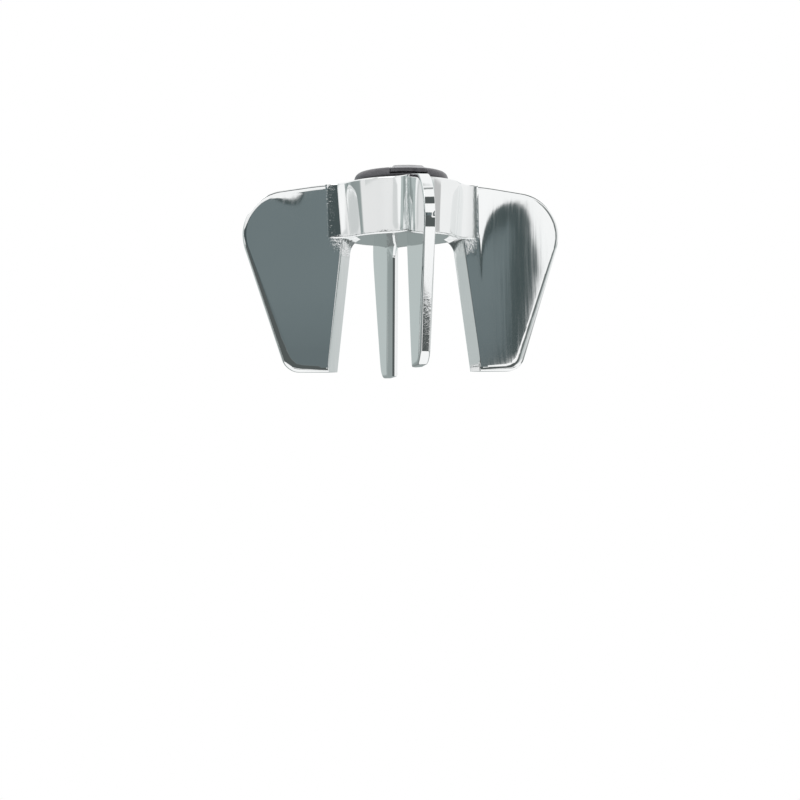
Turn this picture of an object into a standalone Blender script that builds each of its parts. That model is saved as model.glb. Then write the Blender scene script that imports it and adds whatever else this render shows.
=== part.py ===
"""Champagne opener: a cast four-fin star whose hub is a cup, closed by a snap-in cap with a bare plate.

Metres, +Z up. The origin is on the ground under the hub's axis. The fins lie along X and Y, and the
front fin points to -Y. The plate runs from front to back.
"""
import math

import bmesh
import bpy

# Clearance between two pieces that touch on the real object, and the overrun of every cut
CLEARANCE = 0.0003
OVERRUN = 0.002

# Hub: a cup with its mouth at the top
HUB_RADIUS = 0.0125
HUB_TOP = 0.0398
HUB_HEIGHT = 0.0117
HUB_FOOT_ROUND = 0.0004
FLOOR_THICKNESS = 0.0022
GROOVE_DEPTH = 0.0006
GROOVE_HEIGHT = 0.0016
GROOVE_BELOW_TOP = 0.0044

# Fins: the outline of one fin in its own plane, from the axis outwards
FIN_COUNT = 4
FIN_THICKNESS = 0.0025
FIN_RIM_ROUND = 0.0005
FIN_FOOT_ROUND = 0.0004
FIN_REACH = 0.0338
SHOULDER_HEIGHT = 0.0369
SHOULDER_ROUND = 0.0092
CHEEK_HEIGHT = 0.0275
CHEEK_ROUND = 0.0090
CREST_RADIUS = 0.0150
CREST_ROUND = 0.0600
FOOT_OUTER_RADIUS = 0.0250
FOOT_OUTER_ROUND = 0.0037
FOOT_INNER_RADIUS = 0.0143
FOOT_INNER_ROUND = 0.0006
BLADE_TOP_RADIUS = 0.0108
BLADE_TOP_ROUND = 0.0036
BLADE_TOP_BACK_SHARE = 0.05
BLADE_EDGE_WIDTH = 0.0005
BLADE_TAPER = 0.0022
ROOT_FILLET = 0.0060
ROOT_RELIEF = 0.00002

# Cap: a disc that covers a ledge round the hub's mouth, with a slotted skirt that snaps into the cup
CAP_RADIUS = 0.00995
CAP_LEDGE = 0.00085
CAP_THICKNESS = 0.0022
CAP_RIM_ROUND = 0.0015
SKIRT_WALL = 0.0011
SKIRT_DEPTH = 0.0062
BEAD_HEIGHT = 0.0010
SLOT_WIDTH = 0.0018
SLOT_COUNT = 4

# Plate: a bare bar laid in a groove of the cap and held by two pegs
PLATE_WIDTH = 0.0075
PLATE_THICKNESS = 0.0014
PLATE_PROUD = 0.0002
PLATE_OVERHANG = 0.00025
PLATE_EDGE_ROUND = 0.0007
PEG_RADIUS = 0.0012
PEG_LENGTH = 0.0025
PEG_SPACING = 0.0090

# Smoothness of the round stretches
ROUND_STEPS = 4
SHOULDER_STEPS = 10
TURN_STEPS = 64
PEG_STEPS = 24
SMOOTH_ANGLE = math.radians(32)

HUB_FOOT = HUB_TOP - HUB_HEIGHT
HALF_FIN = FIN_THICKNESS / 2
BORE_RADIUS = CAP_RADIUS - CAP_LEDGE
CAP_FOOT = HUB_TOP + CLEARANCE
CAP_TOP = CAP_FOOT + CAP_THICKNESS
PLATE_TOP = CAP_TOP + PLATE_PROUD
PLATE_FOOT = PLATE_TOP - PLATE_THICKNESS


def new_collection(name):
    collection = bpy.data.collections.new(name)
    bpy.context.scene.collection.children.link(collection)
    return collection


def new_material(name, colour, metallic, roughness):
    material = bpy.data.materials.new(name)
    material.use_nodes = True
    shader = material.node_tree.nodes["Principled BSDF"]
    shader.inputs["Base Color"].default_value = (*colour, 1.0)
    shader.inputs["Metallic"].default_value = metallic
    shader.inputs["Roughness"].default_value = roughness
    return material


def object_from_bmesh(name, shape, collection):
    bmesh.ops.recalc_face_normals(shape, faces=shape.faces)
    mesh = bpy.data.meshes.new(name)
    shape.to_mesh(mesh)
    shape.free()
    result = bpy.data.objects.new(name, mesh)
    collection.objects.link(result)
    return result


def as_cutter(cutter):
    cutter.hide_render = True
    cutter.display_type = "WIRE"
    return cutter


def add_boolean(target, other, operation):
    modifier = target.modifiers.new(operation.lower() + "_" + other.name, "BOOLEAN")
    modifier.operation = operation
    modifier.solver = "EXACT"
    modifier.object = other


def smooth(target, material):
    target.data.materials.append(material)
    target.data.shade_smooth()
    target.data.set_sharp_from_angle(angle=SMOOTH_ANGLE)


def line_crossing(first, second):
    """Return the point where two lines meet; each line is a point and a direction."""
    (ax, az), (adx, adz) = first
    (bx, bz), (bdx, bdz) = second
    along = ((bx - ax) * bdz - (bz - az) * bdx) / (adx * bdz - adz * bdx)
    return ax + adx * along, az + adz * along


def inset_corners(corners, insets):
    """Move each edge of a counter-clockwise outline inwards and return the corners that result."""
    lines = []
    for index, inset in enumerate(insets):
        ax, az = corners[index]
        bx, bz = corners[(index + 1) % len(corners)]
        length = math.hypot(bx - ax, bz - az)
        along = ((bx - ax) / length, (bz - az) / length)
        lines.append(((ax - along[1] * inset, az + along[0] * inset), along))
    return [line_crossing(lines[index - 1], lines[index]) for index in range(len(corners))]


def turn_at(before, corner, after):
    """Return the signed angle by which an outline turns at a corner."""
    into = math.atan2(corner[1] - before[1], corner[0] - before[0])
    out = math.atan2(after[1] - corner[1], after[0] - corner[0])
    return (out - into + math.pi) % (2 * math.pi) - math.pi


def round_corners(corners, radii, steps):
    """Return the outline's points with each corner replaced by an arc, limited by its edges."""
    count = len(corners)
    turns = [turn_at(corners[i - 1], corners[i], corners[(i + 1) % count]) for i in range(count)]
    reaches = [radius * abs(math.tan(turn / 2)) for radius, turn in zip(radii, turns)]
    lengths = [math.dist(corners[i], corners[(i + 1) % count]) for i in range(count)]
    fits = [min(1.0, lengths[i] / max(reaches[i] + reaches[(i + 1) % count], lengths[i]))
            for i in range(count)]
    points = []
    for index, corner in enumerate(corners):
        radius = radii[index] * min(fits[index - 1], fits[index])
        if radius <= 0:
            points.append(corner)
            continue
        before = corners[index - 1]
        reach = radius * abs(math.tan(turns[index] / 2))
        heading = math.atan2(corner[1] - before[1], corner[0] - before[0])
        x = corner[0] - reach * math.cos(heading)
        z = corner[1] - reach * math.sin(heading)
        step = turns[index] / steps[index]
        chord = 2 * radius * math.sin(abs(step) / 2)
        points.append((x, z))
        for number in range(steps[index]):
            direction = heading + step * (number + 0.5)
            x += chord * math.cos(direction)
            z += chord * math.sin(direction)
            points.append((x, z))
    return points


def rounding_inset(radius, offset):
    """Return how far a rim of this radius has drawn in at this offset from the fin's middle plane."""
    past = max(0.0, offset - (HALF_FIN - radius))
    return radius - math.sqrt(max(0.0, radius ** 2 - past ** 2))


def fin_section(offset):
    """Return the fin's outline at one offset from its middle plane, as (radius, height) points."""
    inside = BORE_RADIUS - (HUB_RADIUS - BORE_RADIUS)
    tab_foot = HUB_FOOT + FLOOR_THICKNESS / 8
    corners = [(inside, HUB_TOP - ROOT_RELIEF), (inside, tab_foot), (BLADE_TOP_RADIUS, tab_foot),
               (FOOT_INNER_RADIUS, 0), (FOOT_OUTER_RADIUS, 0), (FIN_REACH, CHEEK_HEIGHT),
               (FIN_REACH, SHOULDER_HEIGHT), (CREST_RADIUS, HUB_TOP)]
    half_edge = BLADE_EDGE_WIDTH / 2
    taper = max(0.0, offset - half_edge) / (HALF_FIN - half_edge)
    rim = rounding_inset(FIN_RIM_ROUND, offset)
    foot = rounding_inset(FIN_FOOT_ROUND, offset)
    moved = inset_corners(corners, [0, 0, BLADE_TAPER * taper, foot, rim, rim, rim, rim])
    top_round = BLADE_TOP_ROUND * (1 - (1 - BLADE_TOP_BACK_SHARE) * taper)
    radii = [0, 0, top_round, FOOT_INNER_ROUND, FOOT_OUTER_ROUND - rim,
             CHEEK_ROUND - rim, SHOULDER_ROUND - rim, CREST_ROUND - rim]
    steps = [1, 1, ROUND_STEPS, 2, ROUND_STEPS + 1, 2, SHOULDER_STEPS, ROUND_STEPS]
    return round_corners(moved, radii, steps)


def fin_offsets():
    """Return the offsets of the sections from the middle plane, from one face to the other."""
    flat = HALF_FIN - FIN_RIM_ROUND
    quarter = math.pi / 2
    half = [BLADE_EDGE_WIDTH / 2]
    half += [flat + FIN_RIM_ROUND * math.sin(quarter * step / ROUND_STEPS)
             for step in range(ROUND_STEPS + 1)]
    return [-offset for offset in reversed(half)] + half


def add_fin(shape, heading):
    """Loft one fin between its sections, pointing away from the axis at the given heading."""
    rings = []
    for offset in fin_offsets():
        ring = []
        for radius, height in fin_section(abs(offset)):
            x = radius * math.cos(heading) - offset * math.sin(heading)
            y = radius * math.sin(heading) + offset * math.cos(heading)
            ring.append(shape.verts.new((x, y, height)))
        rings.append(ring)
    for ring, following in zip(rings, rings[1:]):
        for index in range(len(ring)):
            onward = (index + 1) % len(ring)
            shape.faces.new((ring[index], ring[onward], following[onward], following[index]))
    shape.faces.new(rings[0])
    shape.faces.new(reversed(rings[-1]))


def arc_points(centre, radius, first, last, steps):
    """Return points on an arc from one angle to another, both included."""
    return [(centre[0] + radius * math.cos(first + (last - first) * step / steps),
             centre[1] + radius * math.sin(first + (last - first) * step / steps))
            for step in range(steps + 1)]


def hub_outline():
    """Return the plan of the hub with the hollow fillets that run into the fins."""
    across = HALF_FIN - ROOT_RELIEF + ROOT_FILLET
    along = math.sqrt((HUB_RADIUS + ROOT_FILLET) ** 2 - across ** 2)
    tilt = math.atan2(across, along)
    quadrant = 2 * math.pi / FIN_COUNT
    steps = 2 * ROUND_STEPS
    fillet = arc_points((along, across), ROOT_FILLET, -math.pi / 2, tilt - math.pi, steps)
    round_stretch = arc_points((0, 0), HUB_RADIUS, tilt, quadrant - tilt, steps)
    mirrored = [(math.cos(quadrant) * x + math.sin(quadrant) * y,
                 math.sin(quadrant) * x - math.cos(quadrant) * y) for x, y in reversed(fillet)]
    points = []
    for number in range(FIN_COUNT):
        turn = quadrant * number
        for x, y in fillet + round_stretch[1:-1] + mirrored:
            points.append((x * math.cos(turn) - y * math.sin(turn),
                           x * math.sin(turn) + y * math.cos(turn)))
    return points


def flat_shape(name, points, foot, top, collection):
    """Extrude a flat outline between two heights and return it as a mesh object."""
    curve = bpy.data.curves.new(name, "CURVE")
    curve.dimensions = "2D"
    curve.fill_mode = "BOTH"
    curve.extrude = (top - foot) / 2
    spline = curve.splines.new("POLY")
    spline.points.add(len(points) - 1)
    for point, (x, y) in zip(spline.points, points):
        point.co = (x, y, 0, 1)
    spline.use_cyclic_u = True
    guide = bpy.data.objects.new(name + "_outline", curve)
    guide.location = (0, 0, (top + foot) / 2)
    collection.objects.link(guide)
    bpy.context.view_layer.update()
    mesh = bpy.data.meshes.new_from_object(guide.evaluated_get(bpy.context.evaluated_depsgraph_get()))
    placed = guide.matrix_world.copy()
    bpy.data.objects.remove(guide)
    shape = bmesh.new()
    shape.from_mesh(mesh)
    bpy.data.meshes.remove(mesh)
    bmesh.ops.transform(shape, matrix=placed, verts=shape.verts)
    bmesh.ops.remove_doubles(shape, verts=shape.verts, dist=CLEARANCE / 100)
    return object_from_bmesh(name, shape, collection)


def round_rim(target, height, radius):
    """Round the edges of an extruded shape that lie all the way round at one height."""
    shape = bmesh.new()
    shape.from_mesh(target.data)
    near = CLEARANCE / 10
    rim = [edge for edge in shape.edges
           if all(abs(vertex.co.z - height) < near for vertex in edge.verts)
           and any(abs(face.normal.z) < 0.5 for face in edge.link_faces)]
    bmesh.ops.bevel(shape, geom=rim, offset=radius, segments=ROUND_STEPS - 1, profile=0.5,
                    affect="EDGES", clamp_overlap=True)
    shape.to_mesh(target.data)
    shape.free()


def turned(name, profile, steps, collection):
    """Turn a profile of (radius, height) points, which runs down its outer side, about Z."""
    shape = bmesh.new()
    vertices = [shape.verts.new((radius, 0, height)) for radius, height in profile]
    for upper, lower in zip(vertices, vertices[1:]):
        shape.edges.new((upper, lower))
    mesh = bpy.data.meshes.new(name)
    shape.to_mesh(mesh)
    shape.free()
    result = bpy.data.objects.new(name, mesh)
    collection.objects.link(result)
    screw = result.modifiers.new("turn", "SCREW")
    screw.axis = "Z"
    screw.steps = steps
    screw.render_steps = steps
    screw.use_merge_vertices = True
    screw.merge_threshold = CLEARANCE / 100
    return result


def add_box(name, size, centre, collection):
    shape = bmesh.new()
    bmesh.ops.create_cube(shape, size=1)
    bmesh.ops.scale(shape, vec=size, verts=shape.verts)
    bmesh.ops.translate(shape, vec=centre, verts=shape.verts)
    return object_from_bmesh(name, shape, collection)


def add_pegs(name, radius, foot, top, collection):
    """Make the two upright pegs under the plate, or the holes that take them."""
    shape = bmesh.new()
    for side in (-1, 1):
        made = bmesh.ops.create_cone(shape, cap_ends=True, segments=PEG_STEPS, radius1=radius,
                                     radius2=radius, depth=top - foot)
        bmesh.ops.translate(shape, vec=(0, side * PEG_SPACING / 2, (top + foot) / 2),
                            verts=made["verts"])
    return object_from_bmesh(name, shape, collection)


def crest_trim_profile():
    """Return the profile of a cutter that lowers the hub's top to the crests where it runs out to the fins."""
    crest = [(radius, height + ROOT_RELIEF) for radius, height in fin_section(0)[-ROUND_STEPS - 1:]]
    above = HUB_TOP + OVERRUN
    return [(0, above), (crest[0][0], above)] + crest + [(0, crest[-1][1])]


def make_star_body(parts, cutters):
    body = flat_shape("star_body", hub_outline(), HUB_FOOT, HUB_TOP, parts)
    round_rim(body, HUB_FOOT, HUB_FOOT_ROUND)
    round_rim(body, HUB_TOP, FIN_RIM_ROUND)
    trim = turned("crest_trim", crest_trim_profile(), TURN_STEPS, cutters)
    add_boolean(body, as_cutter(trim), "DIFFERENCE")
    fins = bmesh.new()
    for number in range(FIN_COUNT):
        add_fin(fins, 2 * math.pi * number / FIN_COUNT)
    add_boolean(body, as_cutter(object_from_bmesh("fins", fins, cutters)), "UNION")
    cup_floor = HUB_FOOT + FLOOR_THICKNESS
    groove_top = HUB_TOP - GROOVE_BELOW_TOP
    groove_radius = BORE_RADIUS + GROOVE_DEPTH
    profile = [(0, HUB_TOP + OVERRUN), (BORE_RADIUS, HUB_TOP + OVERRUN), (BORE_RADIUS, groove_top),
               (groove_radius, groove_top - GROOVE_DEPTH),
               (groove_radius, groove_top + GROOVE_DEPTH - GROOVE_HEIGHT),
               (BORE_RADIUS, groove_top - GROOVE_HEIGHT), (BORE_RADIUS, cup_floor), (0, cup_floor)]
    add_boolean(body, as_cutter(turned("cup", profile, TURN_STEPS, cutters)), "DIFFERENCE")
    return body


def make_cap(parts, cutters):
    rim = arc_points((CAP_RADIUS - CAP_RIM_ROUND, CAP_TOP - CAP_RIM_ROUND), CAP_RIM_ROUND,
                     math.pi / 2, 0, ROUND_STEPS)
    skirt_radius = BORE_RADIUS - CLEARANCE
    inner_radius = skirt_radius - SKIRT_WALL
    skirt_foot = CAP_FOOT - SKIRT_DEPTH
    groove_middle = HUB_TOP - GROOVE_BELOW_TOP - GROOVE_HEIGHT / 2
    bead_top = groove_middle + BEAD_HEIGHT / 2
    bead_foot = groove_middle - BEAD_HEIGHT / 2
    profile = [(0, CAP_TOP)] + rim
    profile += [(CAP_RADIUS, CAP_FOOT), (skirt_radius, CAP_FOOT), (skirt_radius, bead_top),
                (skirt_radius + GROOVE_DEPTH, groove_middle), (skirt_radius, bead_foot),
                (skirt_radius, skirt_foot), (inner_radius, skirt_foot), (inner_radius, CAP_FOOT),
                (0, CAP_FOOT)]
    cap = turned("cap", profile, TURN_STEPS, parts)
    slot_top = CAP_FOOT - CLEARANCE
    slot_foot = skirt_foot - OVERRUN
    slot_size = (2 * (CAP_RADIUS + OVERRUN), SLOT_WIDTH, slot_top - slot_foot)
    slot_centre = (0, 0, (slot_top + slot_foot) / 2)
    for number in range(SLOT_COUNT // 2):
        slot = add_box("leg_slot_" + str(number + 1), slot_size, slot_centre, cutters)
        slot.rotation_euler.z = math.pi / SLOT_COUNT + 2 * math.pi * number / SLOT_COUNT
        add_boolean(cap, as_cutter(slot), "DIFFERENCE")
    groove_foot = PLATE_FOOT - CLEARANCE
    groove_top = PLATE_TOP + OVERRUN
    groove_size = (PLATE_WIDTH + 2 * CLEARANCE, 2 * (CAP_RADIUS + OVERRUN), groove_top - groove_foot)
    groove = add_box("plate_groove", groove_size, (0, 0, (groove_top + groove_foot) / 2), cutters)
    add_boolean(cap, as_cutter(groove), "DIFFERENCE")
    hole_radius = PEG_RADIUS + CLEARANCE
    holes = add_pegs("peg_holes", hole_radius, CAP_FOOT - OVERRUN, groove_foot + OVERRUN, cutters)
    add_boolean(cap, as_cutter(holes), "DIFFERENCE")
    return cap


def make_cap_plate(parts, cutters):
    reach = CAP_RADIUS + PLATE_OVERHANG
    half_width = PLATE_WIDTH / 2
    sweep = math.asin(half_width / reach)
    steps = 2 * ROUND_STEPS
    front = arc_points((0, 0), reach, -math.pi / 2 - sweep, -math.pi / 2 + sweep, steps)
    back = arc_points((0, 0), reach, math.pi / 2 - sweep, math.pi / 2 + sweep, steps)
    plate = flat_shape("cap_plate", front + back, PLATE_FOOT, PLATE_TOP, parts)
    round_rim(plate, PLATE_TOP, PLATE_EDGE_ROUND)
    peg_top = PLATE_FOOT + PLATE_THICKNESS / 2
    pegs = add_pegs("pegs", PEG_RADIUS, PLATE_FOOT - PEG_LENGTH, peg_top, cutters)
    add_boolean(plate, as_cutter(pegs), "UNION")
    return plate


def main():
    for existing in list(bpy.data.objects):
        bpy.data.objects.remove(existing)
    parts = new_collection("champagne_opener")
    cutters = new_collection("cutters")
    chrome = new_material("polished_chrome", (0.80, 0.82, 0.82), 1.0, 0.06)
    cap_plastic = new_material("cap_plastic", (0.085, 0.083, 0.092), 0.0, 0.28)
    plate_plastic = new_material("plate_plastic", (0.115, 0.113, 0.122), 0.0, 0.20)
    smooth(make_star_body(parts, cutters), chrome)
    smooth(make_cap(parts, cutters), cap_plastic)
    smooth(make_cap_plate(parts, cutters), plate_plastic)


main()
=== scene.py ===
"""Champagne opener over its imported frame: a chromed four-fin casting, a snap-in cap and a bare plate."""
import math

import bpy
from mathutils import Matrix, Vector


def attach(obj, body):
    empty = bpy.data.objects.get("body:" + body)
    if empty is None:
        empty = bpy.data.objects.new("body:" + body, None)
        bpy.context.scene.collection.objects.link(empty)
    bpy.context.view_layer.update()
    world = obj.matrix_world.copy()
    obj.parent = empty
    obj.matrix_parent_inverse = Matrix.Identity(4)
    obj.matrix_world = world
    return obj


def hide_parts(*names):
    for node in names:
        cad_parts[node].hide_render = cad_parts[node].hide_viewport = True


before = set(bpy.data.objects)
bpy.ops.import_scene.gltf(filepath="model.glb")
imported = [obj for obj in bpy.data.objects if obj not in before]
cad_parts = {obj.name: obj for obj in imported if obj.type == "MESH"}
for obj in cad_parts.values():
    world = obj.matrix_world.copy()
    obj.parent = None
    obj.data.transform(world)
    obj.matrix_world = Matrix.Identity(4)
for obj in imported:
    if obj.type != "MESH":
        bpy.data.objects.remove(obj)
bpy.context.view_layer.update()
bpy.ops.object.select_all(action="DESELECT")


# Camera
# It stands a little left of the front fin and below the feet, and looks slightly up, as in the photo.
CAMERA_PLACE = Vector((-0.07274, -0.43203, -0.02746))
CAMERA_YAW = math.radians(-9.428)
CAMERA_PITCH = math.radians(2.813)
CAMERA_ROLL = math.radians(-0.901)
CAMERA_LENS = 93.40
CAMERA_SENSOR = 36
CAMERA_CLIP_START = 0.01

ahead = Vector((-math.sin(CAMERA_YAW) * math.cos(CAMERA_PITCH),
                math.cos(CAMERA_YAW) * math.cos(CAMERA_PITCH),
                math.sin(CAMERA_PITCH)))
level_right = Vector((math.cos(CAMERA_YAW), math.sin(CAMERA_YAW), 0))
level_up = level_right.cross(ahead)
rolled_right = level_right * math.cos(CAMERA_ROLL) + level_up * math.sin(CAMERA_ROLL)
rolled_up = level_up * math.cos(CAMERA_ROLL) - level_right * math.sin(CAMERA_ROLL)
bpy.ops.object.camera_add()
camera = bpy.context.object
camera.name = "camera"
camera.data.lens = CAMERA_LENS
camera.data.sensor_width = CAMERA_SENSOR
camera.data.clip_start = CAMERA_CLIP_START
camera.matrix_world = Matrix.Translation(CAMERA_PLACE) @ Matrix(
    (rolled_right, rolled_up, -ahead)).transposed().to_4x4()
bpy.context.scene.camera = camera


# Star casting
# One zinc die casting: four upright fins whose inner edges taper to blades, on a round cup-shaped hub.
# It is ground, polished and chromed all over; the corners under the hub keep the rough cast skin.
FIN_COUNT = 4
HALF_FIN = 0.00125
FIN_START = 0.0070
FIN_REACH = 0.0338
FIN_TOP_SINK = 0.00003
CREST_START = 0.0150
SHOULDER_HEIGHT = 0.0369
CHEEK_HEIGHT = 0.0275
FOOT_OUTER = 0.0250
FOOT_INNER = 0.0143
HUB_RADIUS = 0.0127
HUB_FOOT_RADIUS = 0.0118
HUB_FOOT = 0.0281
HUB_TOP = 0.0398
HUB_RIM_ROUND = 0.00040
HUB_RIM_STEPS = 5
HUB_STEPS = 18
HUB_WALL_CUTS = 5
ROOT_REACH = 0.0164
FILLET_RELIEF = 0.00002
FILLET_STEPS = 16

# The blade: where it turns into the hub, half its edge's width, how far its bevel reaches, and how
# much the rounding of that turn shrinks across the bevel
BLADE_TOP_RADIUS = 0.0108
BLADE_TOP_HEIGHT = 0.02837
BLADE_EDGE_HALF = 0.00025
BLADE_TAPER = 0.0022
BLADE_TURN_SHRINK = 0.97

# Where the points of the blade lie, and those of its turn into the hub
BLADE_START = 0.0074
BLADE_END = 0.0165
BLADE_TOP = HUB_FOOT + 0.0015
BLADE_TURN_END = 0.0125
BLADE_TURN_FOOT = 0.0245

# The rounding of a fin's rim: its depth, its width on the fin's side, and how much it grows at the foot
RIM_ROUND = 0.00022
RIM_WIDTH = 0.0008
RIM_STEPS = 6
RIM_GROWTH = 0.0010
GROWTH_TOP = 0.0250
GROWTH_START = 0.0215
GROWTH_DEPTH_SHARE = 0.4
OUTER_EDGE_LEAN = (0.952, 0.305)

# A fin's side gets three rings close to its rim, and a grid of cuts whose places are in millimetres
SIDE_CENTRE = (0.0225, 0, 0.0296)
SIDE_RINGS = (0.985, 0.965, 0.94)
SIDE_CUTS = (16.4, 16.8, 17.2, 17.7, 18.3, 19.0, 19.8, 20.7, 21.7, 22.8, 24.0, 25.2, 26.4, 27.6,
             28.7, 29.7, 30.6, 31.4, 32.1, 32.7, 33.1)
SIDE_LEVELS = (0.9, 1.8, 2.8, 4.0, 5.5, 7.2, 9.2, 11.4, 13.8, 16.2, 18.6, 20.8, 22.8, 24.6,
               26.2, 27.6, 29.0, 30.4, 31.8, 33.2, 34.4, 35.5, 36.5, 37.3, 38.0, 38.6)
CUT_TOLERANCE = 0.00001

# Polishing rounds the side off towards its edges. A rounding has a rate and a place where it starts.
CROWN_RATE = 1.9
CROWN_START = 0.0230
FOOT_CROWN_RATE = 3.0
FOOT_CROWN_START = 0.0060
CREST_SLOPE = 0.154
CREST_CROWN_RATE = 2.5
CREST_CROWN_DEPTH = 0.0055
CREST_EDGE_RATE = 8.0
CREST_EDGE_DEPTH = 0.0022

# Past the root it leaves a hollow, which starts above a height and widens upwards
HOLLOW_FOOT = 0.0205
HOLLOW_SLOPE = 0.05
HOLLOW_LEAST = 0.00035
HOLLOW_MOST = 0.0055
HOLLOW_WIDENING = 17.5
HOLLOW_RECOVERY = 0.0090

# The hub's top falls away towards the crests of the fins, on a wide round
CREST_FALL_START = 0.0105
CREST_FALL_ROUND = 0.0600
CREST_FALL_RADII = (0.0180, 0.0165, 0.0150, 0.0135, 0.0120)
TRIM_REACH = 0.0195
ABOVE_HUB = HUB_TOP + 0.002
TURNED_STEPS = 96

# The cup in the hub, and the ring groove that the cap's bead snaps into
BORE_RADIUS = 0.0091
CUP_FLOOR = 0.0303
GROOVE_DEPTH = 0.0006
GROOVE_MIDDLE = 0.0346
GROOVE_FLAT_HALF = 0.0002
GROOVE_MOUTH_HALF = 0.0008

# Turns, and how close points have to be to count as one
QUARTER_TURN = math.radians(90)
FULL_TURN = math.radians(360)
SAME_PLACE = 1e-6
SAME_RING = 1e-7
MERGE_REACH = 2e-6
SLIVER = 3e-6

# Each corner of a fin: its radius, its height, how far its rounding reaches, and the rounding's steps
FIN_CORNERS = (
    (FIN_START, HUB_TOP - FIN_TOP_SINK, 0, 1),
    (FIN_START, BLADE_TOP_HEIGHT, 0, 1),
    (BLADE_TOP_RADIUS, BLADE_TOP_HEIGHT, 0.00318, 10),
    (FOOT_INNER, 0.0000, 0, 1),
    (FOOT_OUTER, 0.0000, 0.00270, 8),
    (FIN_REACH, CHEEK_HEIGHT, 0.00141, 4),
    (FIN_REACH, SHOULDER_HEIGHT, 0.00785, 18),
    (CREST_START, HUB_TOP, 0.00450, 6),
)


def pick(piece, kind, test):
    """Select the vertices, edges or faces of a piece whose points all pass a test, in edit mode."""
    bpy.ops.object.mode_set(mode="EDIT")
    bpy.ops.mesh.select_mode(type=kind)
    bpy.ops.mesh.select_all(action="DESELECT")
    bpy.ops.object.mode_set(mode="OBJECT")
    mesh = piece.data
    passed = [test(vertex.co) for vertex in mesh.vertices]
    groups = {"VERT": mesh.vertices, "EDGE": mesh.edges, "FACE": mesh.polygons}
    for element in groups[kind]:
        points = [element.index] if kind == "VERT" else element.vertices
        element.select = all(passed[index] for index in points)
    bpy.ops.object.mode_set(mode="EDIT")


def added(name):
    """Name the object that was just added, and its mesh."""
    piece = bpy.context.object
    piece.name = name
    piece.data.name = name
    return piece


def make_active(piece):
    """Leave edit mode, and select one piece alone."""
    if bpy.context.object and bpy.context.object.mode == "EDIT":
        bpy.ops.object.mode_set(mode="OBJECT")
    bpy.ops.object.select_all(action="DESELECT")
    piece.select_set(True)
    bpy.context.view_layer.objects.active = piece


def apply_modifiers(piece):
    """Turn a piece's modifiers into its mesh."""
    make_active(piece)
    for modifier in list(piece.modifiers):
        bpy.ops.object.modifier_apply(modifier=modifier.name)


def mirror_piece(piece, axes):
    """Add a piece's mirror images across the planes of the named axes."""
    mirror = piece.modifiers.new("mirror", "MIRROR")
    mirror.use_axis = axes
    mirror.merge_threshold = MERGE_REACH
    apply_modifiers(piece)
    close_and_clean(piece)


def turned_copy(piece, turn):
    """Copy a piece with its own mesh, turned about the hub's axis."""
    make_active(piece)
    bpy.ops.object.duplicate()
    copy = bpy.context.object
    copy.rotation_euler.z = turn
    bpy.ops.object.transform_apply(location=False, rotation=True, scale=False)
    return copy


def join_into(piece, others):
    """Join other objects into a piece as they are."""
    make_active(piece)
    for other in others:
        other.select_set(True)
    bpy.ops.object.join()


def combine(piece, other, operation):
    """Add another closed shape to a piece or cut it away, and delete the other."""
    modifier = piece.modifiers.new(operation.lower(), "BOOLEAN")
    modifier.operation = operation
    modifier.solver = "EXACT"
    modifier.object = other
    apply_modifiers(piece)
    bpy.data.objects.remove(other)


def draw_line(name, points):
    """Draw a line by moving one vertex to its first point and extruding it on to the others."""
    bpy.ops.mesh.primitive_plane_add(size=0.001)
    line = added(name)
    bpy.ops.object.mode_set(mode="EDIT")
    bpy.ops.mesh.select_mode(type="VERT")
    bpy.ops.mesh.select_all(action="SELECT")
    bpy.ops.mesh.merge(type="CENTER")
    here = Vector((0, 0, 0))
    for number, point in enumerate(points):
        step = Vector(point) - here
        if number == 0:
            bpy.ops.transform.translate(value=step)
        else:
            bpy.ops.mesh.extrude_region_move(TRANSFORM_OT_translate={"value": step})
        here = Vector(point)
    return line


def close_and_clean(piece):
    """Merge what a spin or a mirror left double, fill the open ends, and point the faces outwards."""
    bpy.ops.object.mode_set(mode="EDIT")
    bpy.ops.mesh.select_all(action="SELECT")
    bpy.ops.mesh.remove_doubles(threshold=MERGE_REACH)
    bpy.ops.mesh.select_mode(type="EDGE")
    bpy.ops.mesh.select_all(action="DESELECT")
    bpy.ops.mesh.select_non_manifold(extend=False)
    bpy.ops.mesh.fill_holes(sides=0)
    bpy.ops.mesh.select_all(action="SELECT")
    bpy.ops.mesh.normals_make_consistent(inside=False)
    bpy.ops.object.mode_set(mode="OBJECT")


def turned_solid(name, profile, steps):
    """Spin a profile of radii and heights a full turn about the hub's axis into a closed shape."""
    solid = draw_line(name, [(radius, 0, height) for radius, height in profile])
    bpy.ops.mesh.select_all(action="SELECT")
    bpy.ops.mesh.spin(steps=steps, angle=FULL_TURN, center=(0, 0, 0), axis=(0, 0, 1))
    close_and_clean(solid)
    return solid


def drop_slivers(piece):
    """Take out the hair-thin faces that a cut or a bevel left."""
    bpy.ops.object.mode_set(mode="EDIT")
    bpy.ops.mesh.select_all(action="SELECT")
    bpy.ops.mesh.dissolve_degenerate(threshold=SLIVER)
    bpy.ops.object.mode_set(mode="OBJECT")


def rounded_off(rate, depth):
    """Return what a rounding of one rate takes off at a depth inside it."""
    return rate / 2 * max(0.0, depth) ** 2


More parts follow.
